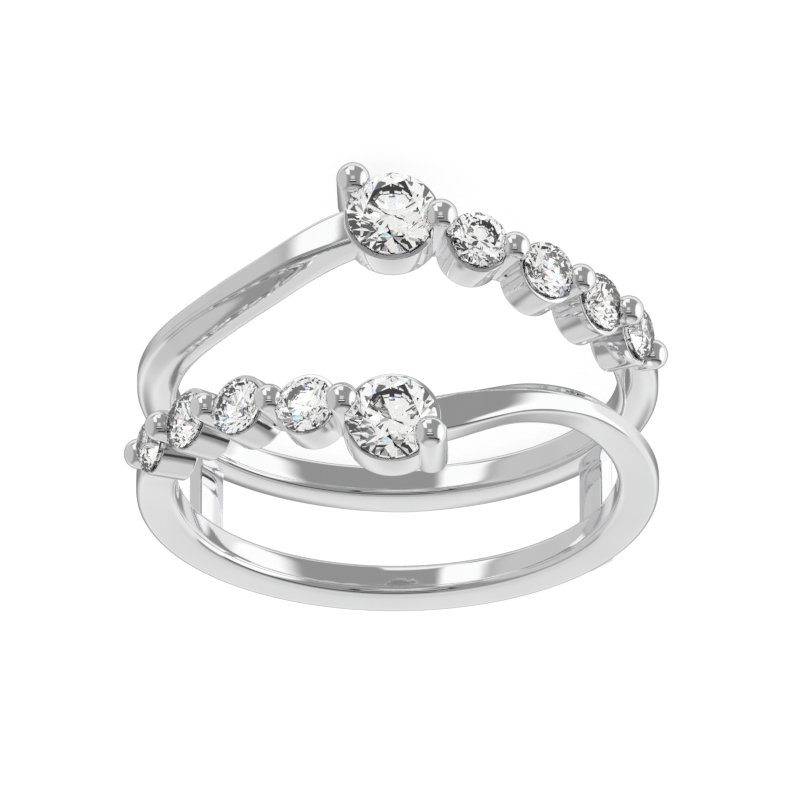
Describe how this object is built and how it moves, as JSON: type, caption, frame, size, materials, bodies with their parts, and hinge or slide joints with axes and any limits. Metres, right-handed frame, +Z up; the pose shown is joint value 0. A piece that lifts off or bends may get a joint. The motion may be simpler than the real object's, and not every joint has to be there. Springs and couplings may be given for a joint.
{
  "type": "ring guard enhancer",
  "caption": "Joined polished metal bands with an open slot between them for a slim ring; each has a large round stone, a row of small stones down one side and a plain shoulder.",
  "frame": {"origin": "middle of the resting ring's outline on the table, which is the plane Z = 0", "axes": "+Z up from the table, -Y towards the stone side, +X across the finger hole"},
  "size_m": [0.0212, 0.0232, 0.0126],
  "materials": {
    "white_metal": "high polish",
    "clear_stone": "faceted and polished"
  },
  "bodies": {
    "root": {"guard_frame": "white_metal", "back_main_stone": "clear_stone", "back_small_stone_1": "clear_stone", "back_small_stone_2": "clear_stone", "back_small_stone_3": "clear_stone", "back_small_stone_4": "clear_stone", "front_main_stone": "clear_stone", "front_small_stone_1": "clear_stone", "front_small_stone_2": "clear_stone", "front_small_stone_3": "clear_stone", "front_small_stone_4": "clear_stone"}
  },
  "joints": []
}
